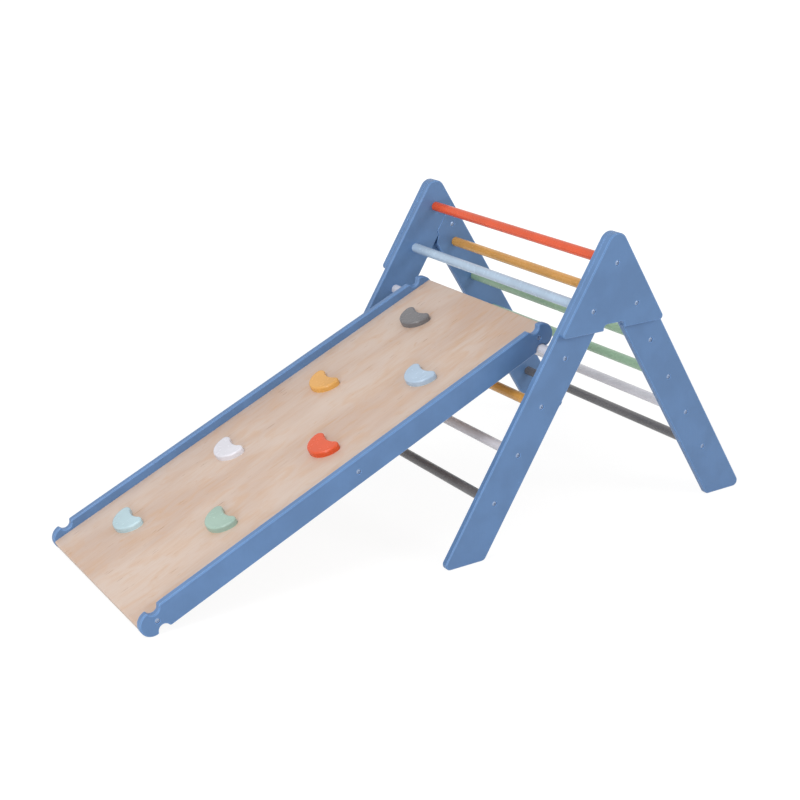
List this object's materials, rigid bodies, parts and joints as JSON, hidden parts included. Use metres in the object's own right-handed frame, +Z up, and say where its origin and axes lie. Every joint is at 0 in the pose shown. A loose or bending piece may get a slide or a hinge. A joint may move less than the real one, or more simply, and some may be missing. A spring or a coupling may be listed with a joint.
{
  "type": "climbing frame with slide",
  "caption": "Folding wooden A-frame climbing triangle in blue paint with coloured rungs and a plywood ramp, with climbing holds, hooked on a rung.",
  "frame": {"origin": "Centre of the bounding box's footprint, on the floor", "axes": "+X from the ramp's foot toward the rear ladder, +Y along the rungs away from the picture's near side, +Z up"},
  "size_m": [1.4486, 0.69, 0.6522],
  "materials": {
    "paint_blue": "satin water based paint on wood",
    "paint_red": "satin water based paint on wood",
    "paint_light_blue": "satin water based paint on wood",
    "paint_white": "satin water based paint on wood",
    "paint_orange": "satin water based paint on wood",
    "paint_grey": "satin water based paint on wood",
    "paint_green": "satin water based paint on wood",
    "paint_sage": "satin water based paint on wood",
    "paint_pale_cyan": "satin water based paint on wood",
    "birch_plywood": "clear matt lacquer over plywood",
    "zinc_steel": "zinc plated"
  },
  "bodies": {
    "front_frame": {"front_leg_near": "paint_blue", "front_leg_far": "paint_blue", "apex_plate_near": "paint_blue", "apex_plate_far": "paint_blue", "front_rung_1_red": "paint_red", "front_rung_2_light_blue": "paint_light_blue", "front_rung_3_white": "paint_white", "front_rung_4_orange": "paint_orange", "front_rung_5_white": "paint_white", "front_rung_6_grey": "paint_grey", "front_rung_inserts": "zinc_steel", "plate_bolts": "zinc_steel", "front_leg_bolts": "zinc_steel", "lock_inserts": "zinc_steel"},
    "rear_ladder": {"rear_leg_near": "paint_blue", "rear_leg_far": "paint_blue", "rear_rung_1_orange": "paint_orange", "rear_rung_2_green": "paint_green", "rear_rung_3_green": "paint_green", "rear_rung_4_white": "paint_white", "rear_rung_5_grey": "paint_grey", "rear_rung_inserts": "zinc_steel", "rear_leg_bolts": "zinc_steel", "pivot_bolts": "zinc_steel", "lock_bolts": "zinc_steel"},
    "ramp": {"ramp_rail_near": "paint_blue", "ramp_rail_far": "paint_blue", "ramp_panel": "birch_plywood", "ramp_screws": "zinc_steel", "hold_1_grey": "paint_grey", "hold_2_light_blue": "paint_light_blue", "hold_3_orange": "paint_orange", "hold_4_red": "paint_red", "hold_5_white": "paint_white", "hold_6_sage": "paint_sage", "hold_7_pale_cyan": "paint_pale_cyan", "hold_screws": "zinc_steel"}
  },
  "joints": [
    {"name": "fold", "type": "hinge", "parent": "front_frame", "child": "rear_ladder", "pos_m": [0.37434, 0, 0.49641], "axis": [0, 1, 0], "range_deg": [0, 64]},
    {"name": "ramp_lift", "type": "hinge", "parent": "front_frame", "child": "ramp", "pos_m": [0.20093, 0, 0.40282], "axis": [0, 1, 0], "range_deg": [0, 60]}
  ]
}
